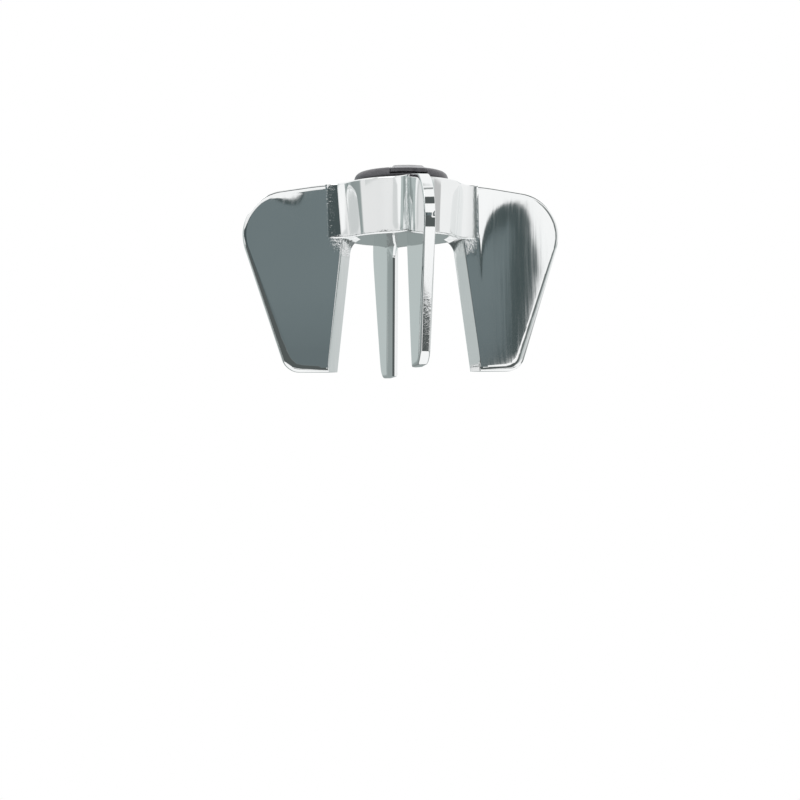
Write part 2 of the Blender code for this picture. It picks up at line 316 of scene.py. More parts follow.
def ground_away(radius, height):
    """Return how far polishing has lowered a fin's side at a point: at its edges, and in the hollow."""
    below_crest = HUB_TOP - CREST_SLOPE * max(0.0, radius - CREST_START) - height
    lost = (rounded_off(CROWN_RATE, radius - CROWN_START)
            + rounded_off(FOOT_CROWN_RATE, FOOT_CROWN_START - height))
    lost += (rounded_off(CREST_CROWN_RATE, CREST_CROWN_DEPTH - below_crest)
             + rounded_off(CREST_EDGE_RATE, CREST_EDGE_DEPTH - below_crest))
    past_root = radius - ROOT_REACH
    if past_root > 0 and height > HOLLOW_FOOT:
        reach = min(HOLLOW_MOST, HOLLOW_LEAST + HOLLOW_WIDENING * (height - HOLLOW_FOOT) ** 2)
        share = min(1.0, past_root / reach)
        regained = min(1.0, max(0.0, (past_root - reach) / HOLLOW_RECOVERY))
        left_over = 1 - regained ** 2 * (3 - 2 * regained)
        lost += HOLLOW_SLOPE * reach * (share - share ** 2 / 2) * left_over
    return min(lost, HALF_FIN / 2)


# One half of a fin starts as a flat plate with rounded corners, and its rim is built up ring by ring
bpy.ops.mesh.primitive_circle_add(vertices=len(FIN_CORNERS), radius=0.01, fill_type="NGON")
fin = added("fin")
for vertex, (radius, height, reach, steps) in zip(fin.data.vertices, FIN_CORNERS):
    vertex.co = (radius, 0, height)
for radius, height, reach, steps in FIN_CORNERS:
    if reach > 0:
        corner = Vector((radius, 0, height))
        pick(fin, "VERT", lambda point: (point - corner).length < SAME_PLACE)
        bpy.ops.mesh.bevel(offset=reach, offset_type="OFFSET", segments=steps, profile=0.5,
                           affect="VERTICES")
bpy.ops.mesh.select_mode(type="FACE")
bpy.ops.mesh.select_all(action="SELECT")
bpy.ops.mesh.extrude_region_move(TRANSFORM_OT_translate={"value": (0, -BLADE_EDGE_HALF, 0)})
bpy.ops.mesh.extrude_region_move(TRANSFORM_OT_translate={
    "value": (0, BLADE_EDGE_HALF + RIM_ROUND - HALF_FIN, 0)})
rim_turns = [QUARTER_TURN * number / RIM_STEPS for number in range(RIM_STEPS + 1)]
for turn, next_turn in zip(rim_turns, rim_turns[1:]):
    bpy.ops.mesh.inset(thickness=RIM_WIDTH * (math.cos(turn) - math.cos(next_turn)),
                       depth=RIM_ROUND * (math.sin(next_turn) - math.sin(turn)))

# The blade is thinned to its edge by moving each ring back from it. The edge's rounding into the hub
# shrinks to a sharp corner on the fin's side, so that the bevel widens like a web under the hub.
rim_levels = [HALF_FIN - RIM_ROUND * (1 - math.sin(turn)) for turn in rim_turns]
rim_insets = [RIM_WIDTH * (1 - math.cos(turn)) for turn in rim_turns]
for level, inset in zip(rim_levels, rim_insets):
    taper = (level - BLADE_EDGE_HALF) / (HALF_FIN - BLADE_EDGE_HALF)
    pick(fin, "VERT", lambda point: abs(point.y + level) < SAME_PLACE
         and BLADE_START < point.x < BLADE_TURN_END and BLADE_TURN_FOOT < point.z < BLADE_TOP)
    shrink = 1 - BLADE_TURN_SHRINK * taper
    turn_corner = (BLADE_TOP_RADIUS + inset, -level, BLADE_TOP_HEIGHT + inset)
    bpy.ops.transform.resize(value=(shrink, 1, shrink), center_override=turn_corner)
    pick(fin, "VERT", lambda point: abs(point.y + level) < SAME_PLACE
         and BLADE_START < point.x < BLADE_END and point.z < BLADE_TOP)
    bpy.ops.transform.translate(value=(BLADE_TAPER * taper - inset, 0, 0))

# The rounding grows towards the foot's outer corner
bpy.ops.object.mode_set(mode="OBJECT")
for level, turn in zip(rim_levels, rim_turns):
    for vertex in fin.data.vertices:
        if (abs(vertex.co.y + level) < SAME_RING and vertex.co.x > GROWTH_START
                and vertex.co.z < GROWTH_TOP):
            grown = RIM_GROWTH * (1 - math.cos(turn)) * (1 - vertex.co.z / GROWTH_TOP)
            vertex.co.x -= OUTER_EDGE_LEAN[0] * grown
            vertex.co.z += OUTER_EDGE_LEAN[1] * grown
            vertex.co.y += (GROWTH_DEPTH_SHARE * RIM_GROWTH * (1 - math.sin(turn))
                            * (1 - vertex.co.z / GROWTH_TOP))

# The side is cut into a grid, and then ground
pick(fin, "FACE", lambda point: abs(point.y + HALF_FIN) < SAME_PLACE)
past = 1.0
for share in SIDE_RINGS:
    bpy.ops.mesh.extrude_region_move(TRANSFORM_OT_translate={"value": (0, 0, 0)})
    bpy.ops.transform.resize(value=(share / past, 1, share / past), center_override=SIDE_CENTRE)
    past = share
side_cuts = [((place / 1000, 0, 0), (1, 0, 0)) for place in SIDE_CUTS]
side_cuts += [((0, 0, level / 1000), (0, 0, 1)) for level in SIDE_LEVELS]
for place, facing in side_cuts:
    pick(fin, "FACE", lambda point: point.y < RIM_ROUND - HALF_FIN + SAME_PLACE)
    bpy.ops.mesh.bisect(plane_co=place, plane_no=facing, threshold=CUT_TOLERANCE)
pick(fin, "FACE", lambda point: abs(point.y) < SAME_RING)
bpy.ops.mesh.delete(type="ONLY_FACE")
bpy.ops.object.mode_set(mode="OBJECT")
for vertex in fin.data.vertices:
    vertex.co.y *= 1 - ground_away(vertex.co.x, vertex.co.z) / HALF_FIN
mirror_piece(fin, (False, True, False))
join_into(fin, [turned_copy(fin, QUARTER_TURN * number) for number in range(1, FIN_COUNT)])

# The hub narrows a little towards its foot. Each quarter of its wall is bridged between two outlines,
# which are points spun round the hub and round the hollow fillets.
half_root = HALF_FIN - FILLET_RELIEF
outlines = []
for level, radius in ((HUB_FOOT, HUB_FOOT_RADIUS), (HUB_TOP, HUB_RADIUS)):
    fillet = (ROOT_REACH ** 2 + half_root ** 2 - radius ** 2) / (2 * (radius - half_root))
    across = half_root + fillet
    tilt = math.atan2(across, ROOT_REACH)
    start = (radius * math.cos(tilt), radius * math.sin(tilt), level)
    outline = draw_line("star_casting", [start])
    bpy.ops.mesh.select_all(action="SELECT")
    bpy.ops.mesh.spin(steps=HUB_STEPS, angle=QUARTER_TURN - 2 * tilt, center=(0, 0, level),
                      axis=(0, 0, -1))
    other_end = Vector((start[1], start[0], level))
    for end, turn, middle, flatten in (
            (Vector(start), QUARTER_TURN - tilt, (ROOT_REACH, across, level), (1, 0, 1)),
            (other_end, tilt - QUARTER_TURN, (across, ROOT_REACH, level), (0, 1, 1))):
        pick(outline, "VERT", lambda point: (point - end).length < SAME_PLACE)
        bpy.ops.mesh.spin(steps=FILLET_STEPS, angle=turn, center=middle, axis=(0, 0, -1))
        bpy.ops.mesh.extrude_region_move(TRANSFORM_OT_translate={"value": (0, 0, 0)})
        bpy.ops.transform.resize(value=flatten, center_override=(0, 0, 0))
    bpy.ops.object.mode_set(mode="OBJECT")
    outlines.append(outline)
star = outlines[0]
join_into(star, outlines[1:])
bpy.ops.object.mode_set(mode="EDIT")
bpy.ops.mesh.select_mode(type="EDGE")
bpy.ops.mesh.select_all(action="SELECT")
bpy.ops.mesh.bridge_edge_loops(number_cuts=HUB_WALL_CUTS, interpolation="LINEAR")
bpy.ops.object.mode_set(mode="OBJECT")
mirror_piece(star, (True, True, False))
for level in (HUB_FOOT, HUB_TOP):
    pick(star, "EDGE", lambda point: abs(point.z - level) < SAME_PLACE)
    bpy.ops.mesh.bevel(offset=HUB_RIM_ROUND, offset_type="OFFSET", segments=HUB_RIM_STEPS, profile=0.5,
                       affect="EDGES")
    bpy.ops.object.mode_set(mode="OBJECT")

# Where the fillets run out, the hub's top comes down to the crests of the fins
crest_line = [(0, ABOVE_HUB), (TRIM_REACH, ABOVE_HUB)]
for radius in (TRIM_REACH, *CREST_FALL_RADII, CREST_FALL_START):
    fall = (radius - CREST_FALL_START) ** 2 / (2 * CREST_FALL_ROUND)
    crest_line.append((radius, HUB_TOP + FILLET_RELIEF - fall))
crest_line.append((0, HUB_TOP + FILLET_RELIEF))
combine(star, turned_solid("crest_trim", crest_line, TURNED_STEPS), "DIFFERENCE")
combine(star, fin, "UNION")

# The cup is cut with a shape whose side has the ring that the cap's bead snaps into
groove_radius = BORE_RADIUS + GROOVE_DEPTH
cup_line = [(0, ABOVE_HUB), (BORE_RADIUS, ABOVE_HUB),
            (BORE_RADIUS, GROOVE_MIDDLE + GROOVE_MOUTH_HALF),
            (groove_radius, GROOVE_MIDDLE + GROOVE_FLAT_HALF),
            (groove_radius, GROOVE_MIDDLE - GROOVE_FLAT_HALF),
            (BORE_RADIUS, GROOVE_MIDDLE - GROOVE_MOUTH_HALF),
            (BORE_RADIUS, CUP_FLOOR), (0, CUP_FLOOR)]
combine(star, turned_solid("cup", cup_line, TURNED_STEPS), "DIFFERENCE")
drop_slivers(star)


def finish_shading(piece, angle, keep_sharp=None):
    """Shade a piece smoothly up to an angle. Edges that pass a test stay sharp, flat faces stay flat."""
    make_active(piece)
    bpy.ops.object.shade_smooth_by_angle(angle=math.radians(angle))
    if keep_sharp:
        pick(piece, "EDGE", keep_sharp)
        bpy.ops.mesh.mark_sharp()
        bpy.ops.object.mode_set(mode="OBJECT")
    weights = piece.modifiers.new("flat_faces", "WEIGHTED_NORMAL")
    weights.keep_sharp = True
    apply_modifiers(piece)


# The angle up to which faces are shaded smoothly, and where the lines at the roots of the fins lie
SHADE_ANGLE = 34
ROOT_LINE_START = ROOT_REACH - 0.0012
ROOT_LINE_END = ROOT_REACH + 0.0001
SIDE_TOLERANCE = 3e-5
LEVEL_TOLERANCE = 1e-5


def on_root_line(point):
    """Tell the upright lines where a fillet runs out on a fin's side."""
    far = max(abs(point.x), abs(point.y))
    near = min(abs(point.x), abs(point.y))
    at_root = ROOT_LINE_START < far < ROOT_LINE_END
    return at_root and abs(near - HALF_FIN) < SIDE_TOLERANCE and point.z > HUB_FOOT - LEVEL_TOLERANCE


finish_shading(star, SHADE_ANGLE, on_root_line)


class Nodes:
    """Adds shader nodes to a material or a world, each with its inputs given by name."""

    def __init__(self, owner):
        owner.use_nodes = True
        self.tree = owner.node_tree
        self.tree.nodes.clear()

    def add(self, kind, inputs=None, **settings):
        """Add a node. An input is a socket to link from, or a constant."""
        node = self.tree.nodes.new("ShaderNode" + kind)
        for key, value in settings.items():
            setattr(node, key, value)
        for key, value in (inputs or {}).items():
            if isinstance(value, bpy.types.NodeSocket):
                self.tree.links.new(value, node.inputs[key])
            else:
                node.inputs[key].default_value = value
        return node

    def math(self, operation, first, second=0.0, clamp=False):
        """Work out one operation on two values."""
        return self.add("Math", {0: first, 1: second}, operation=operation, use_clamp=clamp).outputs[0]

    def product(self, first, *others):
        """Multiply values one after the other."""
        for other in others:
            first = self.math("MULTIPLY", first, other)
        return first

    def step(self, value, low, high, out_low=0.0, out_high=1.0):
        """Run smoothly from one output to the other as the value goes from low to high."""
        inputs = {"Value": value, "From Min": low, "From Max": high,
                  "To Min": out_low, "To Max": out_high}
        return self.add("MapRange", inputs, interpolation_type="SMOOTHSTEP").outputs[0]

    def mix(self, share, first, second):
        """Blend from the first colour to the second."""
        return self.add("MixRGB", {0: share, 1: first, 2: second}).outputs[0]

    def noise(self, place, scale, detail, roughness=0.5):
        """Add a noise of so many waves to a metre."""
        return self.add("TexNoise", {"Vector": place, "Scale": scale, "Detail": detail,
                                     "Roughness": roughness}).outputs[0]

    def bump(self, height, strength, distance, onto=None):
        """Add a bump of a strength and a depth, on top of another one if there is one."""
        inputs = {"Height": height, "Strength": strength, "Distance": distance}
        if onto:
            inputs["Normal"] = onto
        return self.add("Bump", inputs).outputs[0]

    def from_axis(self, split):
        """Return the distance of a place from the hub's axis."""
        across, along = split.outputs[0], split.outputs[1]
        square = self.math("ADD", self.math("MULTIPLY", across, across),
                           self.math("MULTIPLY", along, along))
        return self.math("SQRT", square)


def new_material(name):
    """Make a material. Return it with its nodes and the place on the object that they start from."""
    material = bpy.data.materials.new(name)
    nodes = Nodes(material)
    return material, nodes, nodes.add("TexCoord").outputs["Object"]


def give(piece, material):
    """Make a material the only one of a piece."""
    piece.data.materials.clear()
    piece.data.materials.append(material)


# Bright chrome: a near mirror with upright polishing lines, a faint waviness, and rough skin in places.
# Each pair of heights or radii is where a rough zone begins and where it is full.
CORNER_ABOVE = (0.0235, 0.0275)
CORNER_BELOW = (0.0292, 0.0280)
CORNER_WITHIN = (0.0170, 0.0140)
CORNER_BEYOND = (0.0100, 0.0125)
FILLET_ABOVE = (0.0278, 0.0284)
FILLET_WITHIN = (0.0165, 0.0162)
FILLET_BEYOND = (0.0138, 0.0150)
FILLET_SKIN = 0.40
RIM_BEYOND = (-0.0003, -0.0001)
RIM_BELOW = (0.0150, 0.0115)
RIM_LEAN = (0.9524, 0.305)
RIM_SKIN = 0.10
CHROME_DARKER = (0.895, 0.912, 0.912, 1)
CHROME_PALER = (0.925, 0.935, 0.935, 1)
STAIN_WAVES = 60.0
LINE_WAVES = 1500.0
LINE_STRETCH = (1, 1, 0.05)
LINE_DEPTH = 0.0000012
WAVINESS_WAVES = 130.0
WAVINESS_DEPTH = 0.000004
SKIN_WAVES = 1500.0
SKIN_DEPTH = 0.00007
SKIN_ROUGHNESS = 0.02
CHROME_ROUGHNESS = (0.030, 0.060)

chrome, nodes, place = new_material("bright_chrome")
split = nodes.add("SeparateXYZ", {0: place})
height = split.outputs[2]
radius = nodes.from_axis(split)
near_corner = nodes.product(nodes.step(height, *CORNER_ABOVE), nodes.step(height, *CORNER_BELOW),
                            nodes.step(radius, *CORNER_WITHIN), nodes.step(radius, *CORNER_BEYOND))
in_fillet = nodes.product(nodes.step(height, *FILLET_ABOVE), nodes.step(radius, *FILLET_WITHIN),
                          nodes.step(radius, *FILLET_BEYOND))
far_side = nodes.math("MAXIMUM", nodes.math("ABSOLUTE", split.outputs[0]),
                      nodes.math("ABSOLUTE", split.outputs[1]))
past_foot = nodes.math("SUBTRACT", far_side, FOOT_OUTER)
past_edge = nodes.math("SUBTRACT", nodes.math("MULTIPLY", past_foot, RIM_LEAN[0]),
                       nodes.math("MULTIPLY", height, RIM_LEAN[1]))
low_on_rim = nodes.product(nodes.step(past_edge, *RIM_BEYOND), nodes.step(height, *RIM_BELOW))
low_skin = nodes.math("MAXIMUM", nodes.math("MULTIPLY", in_fillet, FILLET_SKIN),
                      nodes.math("MULTIPLY", low_on_rim, RIM_SKIN))
rough_skin = nodes.math("ADD", near_corner, low_skin, clamp=True)
line_place = nodes.add("Mapping", {"Vector": place, "Scale": LINE_STRETCH}).outputs[0]
polish_lines = nodes.noise(line_place, LINE_WAVES, 2.0)
waviness = nodes.bump(nodes.noise(place, WAVINESS_WAVES, 1.0), 1.0, WAVINESS_DEPTH)
lines = nodes.bump(polish_lines, 1.0, LINE_DEPTH, waviness)
skin = nodes.bump(nodes.noise(place, SKIN_WAVES, 3.0, 0.6), rough_skin, SKIN_DEPTH, lines)
roughness = nodes.math("ADD", nodes.math("MULTIPLY", rough_skin, SKIN_ROUGHNESS),
                       nodes.step(polish_lines, 0.3, 0.8, *CHROME_ROUGHNESS))
stain = nodes.step(nodes.noise(place, STAIN_WAVES, 4.0), 0.35, 0.7)
shader = nodes.add("BsdfPrincipled", {"Base Color": nodes.mix(stain, CHROME_DARKER, CHROME_PALER),
                                      "Metallic": 1.0, "Roughness": roughness, "Normal": skin})
nodes.add("OutputMaterial", {"Surface": shader.outputs[0]})
give(star, chrome)
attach(star, "root")
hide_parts("star_body")


# Cap moulding
# A dark satin plastic disc with a rounded rim, moulded in one with a slotted skirt whose bead snaps
# into the cup. A groove across its top and two holes take the plate.
CAP_RADIUS = 0.00995
CAP_FOOT = 0.0401
CAP_TOP = 0.0423
CAP_RIM_ROUND = 0.0015
CAP_RIM_STEPS = 8
CAP_RINGS = (0.0040, 0.0070)
CAP_STEPS = 128
CAP_LIP_HEIGHTS = (0.04025, 0.04014)
CAP_LIP_INSETS = (0.00006, 0.00017)
SKIRT_RADIUS = 0.0088
SKIRT_INNER = 0.0077
SKIRT_FOOT = 0.0339
SKIRT_LEAD_IN = 0.0002
BEAD_HALF = 0.0005
SLOT_WIDTH = 0.0018
SLOT_REACH = 0.012
SLOT_FOOT = 0.032
SLOT_TOP = 0.0398
SLOT_TURNS = (45, 135)
PLATE_GROOVE_HALF = 0.00379
PLATE_GROOVE_REACH = 0.013
PLATE_GROOVE_FOOT = 0.0408
ABOVE_CAP = 0.0440
PLATE_GROOVE_ROUND = 0.00006
PEG_PLACE = 0.0045
PEG_HOLE_RADIUS = 0.0015
PEG_HOLE_LENGTH = 0.003
PEG_HOLE_MIDDLE = 0.0405
ROD_STEPS = 32

cap_line = [(0, CAP_TOP), (CAP_RINGS[0], CAP_TOP), (CAP_RINGS[1], CAP_TOP)]
for number in range(CAP_RIM_STEPS + 1):
    turn = QUARTER_TURN * number / CAP_RIM_STEPS
    cap_line.append((CAP_RADIUS - CAP_RIM_ROUND * (1 - math.sin(turn)),
                     CAP_TOP - CAP_RIM_ROUND * (1 - math.cos(turn))))
cap_line += [(CAP_RADIUS, CAP_LIP_HEIGHTS[0]), (CAP_RADIUS - CAP_LIP_INSETS[0], CAP_LIP_HEIGHTS[1]),
             (CAP_RADIUS - CAP_LIP_INSETS[1], CAP_FOOT),
             (SKIRT_RADIUS, CAP_FOOT), (SKIRT_RADIUS, GROOVE_MIDDLE + BEAD_HALF),
             (SKIRT_RADIUS + GROOVE_DEPTH, GROOVE_MIDDLE), (SKIRT_RADIUS, GROOVE_MIDDLE - BEAD_HALF),
             (SKIRT_RADIUS - SKIRT_LEAD_IN, SKIRT_FOOT), (SKIRT_INNER, SKIRT_FOOT),
             (SKIRT_INNER, CAP_FOOT), (0, CAP_FOOT)]
cap = turned_solid("cap_moulding", cap_line, CAP_STEPS)


def cutting_box(name, low, high, turn=0.0):
    """Add a box between two corners, turned about the hub's axis, that cuts another piece."""
    low, high = Vector(low), Vector(high)
    bpy.ops.mesh.primitive_cube_add(size=1, location=(low + high) / 2)
    box = added(name)
    box.scale = high - low
    bpy.ops.object.transform_apply(location=True, rotation=False, scale=True)
    box.rotation_euler.z = turn
    bpy.ops.object.transform_apply(location=False, rotation=True, scale=False)
    return box


def upright_rod(name, radius, length, place):
    """Add a round rod about a middle point, that a piece is joined to or cut with."""
    bpy.ops.mesh.primitive_cylinder_add(vertices=ROD_STEPS, radius=radius, depth=length, location=place)
    rod = added(name)
    bpy.ops.object.transform_apply(location=True, rotation=False, scale=False)
    return rod


for turn in SLOT_TURNS:
    slot = cutting_box("leg_slot", (-SLOT_REACH, -SLOT_WIDTH / 2, SLOT_FOOT),
                       (SLOT_REACH, SLOT_WIDTH / 2, SLOT_TOP), math.radians(turn))
    combine(cap, slot, "DIFFERENCE")
groove = cutting_box("plate_groove", (-PLATE_GROOVE_HALF, -PLATE_GROOVE_REACH, PLATE_GROOVE_FOOT),
                     (PLATE_GROOVE_HALF, PLATE_GROOVE_REACH, ABOVE_CAP))
combine(cap, groove, "DIFFERENCE")
for side in (-1, 1):
    hole_middle = (0, side * PEG_PLACE, PEG_HOLE_MIDDLE)
    hole = upright_rod("peg_hole", PEG_HOLE_RADIUS, PEG_HOLE_LENGTH, hole_middle)
    combine(cap, hole, "DIFFERENCE")

# The top edges of the plate's groove are broken by a fine round
pick(cap, "EDGE", lambda point: abs(abs(point.x) - PLATE_GROOVE_HALF) < SAME_PLACE
     and point.z > PLATE_GROOVE_FOOT + 1e-4)
bpy.ops.mesh.bevel(offset=PLATE_GROOVE_ROUND, offset_type="OFFSET", segments=2, profile=0.5,
                   affect="EDGES")
drop_slivers(cap)
finish_shading(cap, SHADE_ANGLE)

# Satin dark plastic: a fine moulded grain, a few lighter scuffs, a soft gloss, and painted shade that
# darkens its foot next to the hub
SATIN_BASE = (0.118, 0.115, 0.127, 1)
SATIN_SCUFFED = (0.185, 0.182, 0.198, 1)
SATIN_PAINTED_SHADE = (0.012, 0.012, 0.013, 1)
FOOT_SHADE = (0.0408, 0.0402)
SCUFF_WAVES = 420.0
GRAIN_WAVES = 2600.0
GRAIN_DEPTH = 0.00002
SATIN_ROUGHNESS = (0.24, 0.38)

satin, nodes, place = new_material("dark_satin_plastic")
scuffs = nodes.noise(place, SCUFF_WAVES, 5.0, 0.7)
colour = nodes.mix(nodes.step(scuffs, 0.52, 0.72), SATIN_BASE, SATIN_SCUFFED)
height = nodes.add("SeparateXYZ", {0: place}).outputs[2]
# Painted shade: below these heights the cap is darkened where it meets the hub's rim
colour = nodes.mix(nodes.step(height, *FOOT_SHADE), colour, SATIN_PAINTED_SHADE)
grain = nodes.bump(nodes.noise(place, GRAIN_WAVES, 2.0), 0.6, GRAIN_DEPTH)
shader = nodes.add("BsdfPrincipled", {"Base Color": colour, "Specular IOR Level": 0.4, "Normal": grain,
                                      "Roughness": nodes.step(scuffs, 0.3, 0.7, *SATIN_ROUGHNESS)})
nodes.add("OutputMaterial", {"Surface": shader.outputs[0]})
give(cap, satin)
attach(cap, "root")
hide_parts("cap")


# Plate inlay
# A glossier plastic bar laid in the cap's groove and held by two pegs. Its ends follow the disc, its
# top edges slope, and the shallow panel on top is left bare.
PLATE_HALF_WIDTH = 0.00375
PLATE_REACH = 0.0102
PLATE_FOOT = 0.0411
PLATE_TOP = 0.0425
PLATE_LEDGE = 0.0421
PLATE_STEPS = 160
PLATE_CORNER_ROUND = 0.00035
PLATE_CORNER_STEPS = 4
PLATE_END_START = 0.0088
PLATE_END_HALF_WIDTH = 0.0037
PLATE_END_DROP = 0.00022
PLATE_SHADE_ANGLE = 40
PEG_RADIUS = 0.0012
PEG_FOOT = 0.0386
PEG_LENGTH = 0.0032

bpy.ops.mesh.primitive_circle_add(vertices=PLATE_STEPS, radius=PLATE_REACH, fill_type="NGON",
                                  location=(0, 0, PLATE_FOOT))
plate = added("plate_inlay")
bpy.ops.object.transform_apply(location=True, rotation=False, scale=False)
bpy.ops.object.mode_set(mode="EDIT")
bpy.ops.mesh.select_mode(type="FACE")
for side in (-1, 1):
    bpy.ops.mesh.select_all(action="SELECT")
    bpy.ops.mesh.bisect(plane_co=(side * PLATE_HALF_WIDTH, 0, 0), plane_no=(side, 0, 0),
                        clear_outer=True)
corner_y = math.sqrt(PLATE_REACH ** 2 - PLATE_HALF_WIDTH ** 2)
pick(plate, "VERT", lambda point: abs(abs(point.x) - PLATE_HALF_WIDTH) < 1e-5
     and abs(point.y) > corner_y - 1e-4)
bpy.ops.mesh.bevel(offset=PLATE_CORNER_ROUND, offset_type="OFFSET", segments=PLATE_CORNER_STEPS,
                   profile=0.5, affect="VERTICES")
bpy.ops.mesh.select_mode(type="FACE")
bpy.ops.mesh.select_all(action="SELECT")

# Each ring of the plate is drawn up from the last one and pulled in: the upright side, the sloping
# shoulder and the sunken panel. A ring has its inset across, its inset along and its height.
plate_rings = [(0, 0, PLATE_LEDGE), (0.00003, 0.00002, PLATE_LEDGE + 0.00005),
               (0.00008, 0.00006, PLATE_LEDGE + 0.00009), (0.00066, 0.00038, PLATE_TOP - 0.00005),
               (0.00074, 0.00046, PLATE_TOP - 0.00001), (0.00084, 0.00056, PLATE_TOP),
               (0.00125, 0.00100, PLATE_TOP), (0.00131, 0.00106, PLATE_TOP - 0.00006),
               (0.0015, 0.00130, PLATE_TOP - 0.00006)]
past = (0.0, 0.0, PLATE_FOOT)
for ring in plate_rings:
    bpy.ops.mesh.extrude_region_move(TRANSFORM_OT_translate={"value": (0, 0, ring[2] - past[2])})
    if ring[0] > past[0]:
        bpy.ops.transform.resize(value=((PLATE_HALF_WIDTH - ring[0]) / (PLATE_HALF_WIDTH - past[0]),
                                        (PLATE_REACH - ring[1]) / (PLATE_REACH - past[1]), 1),
                                 center_override=(0, 0, ring[2]))
    past = ring

# At both ends the sloping edge starts lower, where the disc's rim falls away
pick(plate, "VERT", lambda point: abs(point.y) > PLATE_END_START
     and abs(point.x) < PLATE_END_HALF_WIDTH
     and PLATE_LEDGE - SAME_PLACE < point.z < PLATE_LEDGE + 0.000095)
bpy.ops.transform.translate(value=(0, 0, -PLATE_END_DROP))
bpy.ops.object.mode_set(mode="OBJECT")
close_and_clean(plate)
for side in (-1, 1):
    peg_middle = (0, side * PEG_PLACE, PEG_FOOT + PEG_LENGTH / 2)
    combine(plate, upright_rod("peg", PEG_RADIUS, PEG_LENGTH, peg_middle), "UNION")
finish_shading(plate, PLATE_SHADE_ANGLE)

# Glossy dark plastic: smoother than the cap, with faint rubbed lines along the plate, and a painted
# highlight that makes its sloping edge paler
GLOSS_BASE = (0.080, 0.078, 0.087, 1)
GLOSS_MOTTLE = (0.120, 0.118, 0.130, 1)
GLOSS_PAINTED_HIGHLIGHT = (0.60, 0.60, 0.62, 1)
HIGHLIGHT_ABOVE = (0.04183, 0.04191)
HIGHLIGHT_BELOW = (0.04243, 0.04238)
HIGHLIGHT_SHARE = 0.9
MOTTLE_WAVES = 700.0
RUB_WAVES = 1400.0
RUB_STRETCH = (1, 0.08, 1)
RUB_DEPTH = 0.000006
GLOSS_ROUGHNESS = (0.14, 0.24)

glossy, nodes, place = new_material("dark_gloss_plastic")
rub_place = nodes.add("Mapping", {"Vector": place, "Scale": RUB_STRETCH}).outputs[0]
rubs = nodes.noise(rub_place, RUB_WAVES, 4.0)
mottle = nodes.step(nodes.noise(place, MOTTLE_WAVES, 3.0), 0.45, 0.7)
colour = nodes.mix(mottle, GLOSS_BASE, GLOSS_MOTTLE)
height = nodes.add("SeparateXYZ", {0: place}).outputs[2]
# Painted highlight: the band of the sloping edge is made paler in colour
painted_highlight = nodes.product(nodes.step(height, *HIGHLIGHT_ABOVE), nodes.step(height, *HIGHLIGHT_BELOW), HIGHLIGHT_SHARE)
colour = nodes.mix(painted_highlight, colour, GLOSS_PAINTED_HIGHLIGHT)
shader = nodes.add("BsdfPrincipled", {"Base Color": colour, "Normal": nodes.bump(rubs, 0.5, RUB_DEPTH),
                                      "Roughness": nodes.step(rubs, 0.3, 0.7, *GLOSS_ROUGHNESS)})
nodes.add("OutputMaterial", {"Surface": shader.outputs[0]})
give(plate, glossy)
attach(plate, "root")
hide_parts("cap_plate")


# Floor
# A plain pale floor that carries the shadow. It fades into the white background, and it shows from
# above only, because the camera stands a little below the feet. The metal shows the room in its place.
FLOOR_RADIUS = 1.5
FLOOR_LEVEL = -0.00005
FLOOR_STEPS = 96
FLOOR_FADE = (0.15, 0.9)
PAPER_DARKER = (0.88, 0.88, 0.88, 1)
PAPER_PALER = (0.92, 0.92, 0.92, 1)
PAPER_WAVES = 300.0
PAPER_ROUGHNESS = 0.7

bpy.ops.mesh.primitive_circle_add(vertices=FLOOR_STEPS, radius=FLOOR_RADIUS, fill_type="NGON",
                                  location=(0, 0, FLOOR_LEVEL))
floor = added("floor")
paper, nodes, place = new_material("pale_paper")
colour = nodes.mix(nodes.noise(place, PAPER_WAVES, 3.0), PAPER_DARKER, PAPER_PALER)
faded = nodes.step(nodes.from_axis(nodes.add("SeparateXYZ", {0: place})), *FLOOR_FADE)
below = nodes.add("NewGeometry").outputs["Backfacing"]
unseen = nodes.math("MAXIMUM", below, nodes.add("LightPath").outputs["Is Glossy Ray"])
shader = nodes.add("BsdfPrincipled", {"Base Color": colour, "Roughness": PAPER_ROUGHNESS})
clear = nodes.add("BsdfTransparent")
shown = nodes.add("MixShader", {0: nodes.math("MAXIMUM", faded, unseen), 1: shader.outputs[0],
                                2: clear.outputs[0]})
nodes.add("OutputMaterial", {"Surface": shown.outputs[0]})
give(floor, paper)


# Studio
# A white room round the object, which the camera sees as plain white. The bright metal shows a wide
# grey-green card beside the camera, darker sides, two dark strips overhead and one low in front.
# A direction is given by its heading, in degrees from the front towards the right, and its height.
CARD_LEFT = -52.0
CARD_RIGHT = 14.7
CARD_TOP = 11.7
CARD_FOOT = 1.4
CARD_SOFT = 0.3
UPPER_CUT_SLOPE = 1.32
UPPER_CUT_EDGE = (26.5, 25.8)
LOWER_CUT_SLOPE = 0.571
LOWER_CUT_EDGE = (11.4, 10.9)
LEFT_CUT_SLOPE = 0.10
LEFT_CUT_EDGE = (-0.9, -0.4)
CARD_MIDDLE = (4.0, 6.0)
MIDDLE_WIDTH = 8.5
MIDDLE_ABOVE = 5.3
MIDDLE_BELOW = 10.0
MIDDLE_EDGE = (1.06, 0.94)
MIDDLE_RISE = (3.5, 6.0)
CARD_RIM = (0.067, 0.088, 0.090, 1)
MIDDLE_LOW = (0.136, 0.168, 0.176, 1)
MIDDLE_HIGH = (0.161, 0.199, 0.207, 1)
CHROME_DIMS = 0.92
DEGREES = 180 / math.pi
BEHIND_TURN = (120.0, 150.0)
BEHIND_HEIGHT = (2.0, -4.0)
BEHIND_LEVEL = (150, 0.12)
ALL_ROUND = (-400.0, 400.0)
STRAIGHT_DOWN = -120.0
STRAIGHT_UP = 120.0

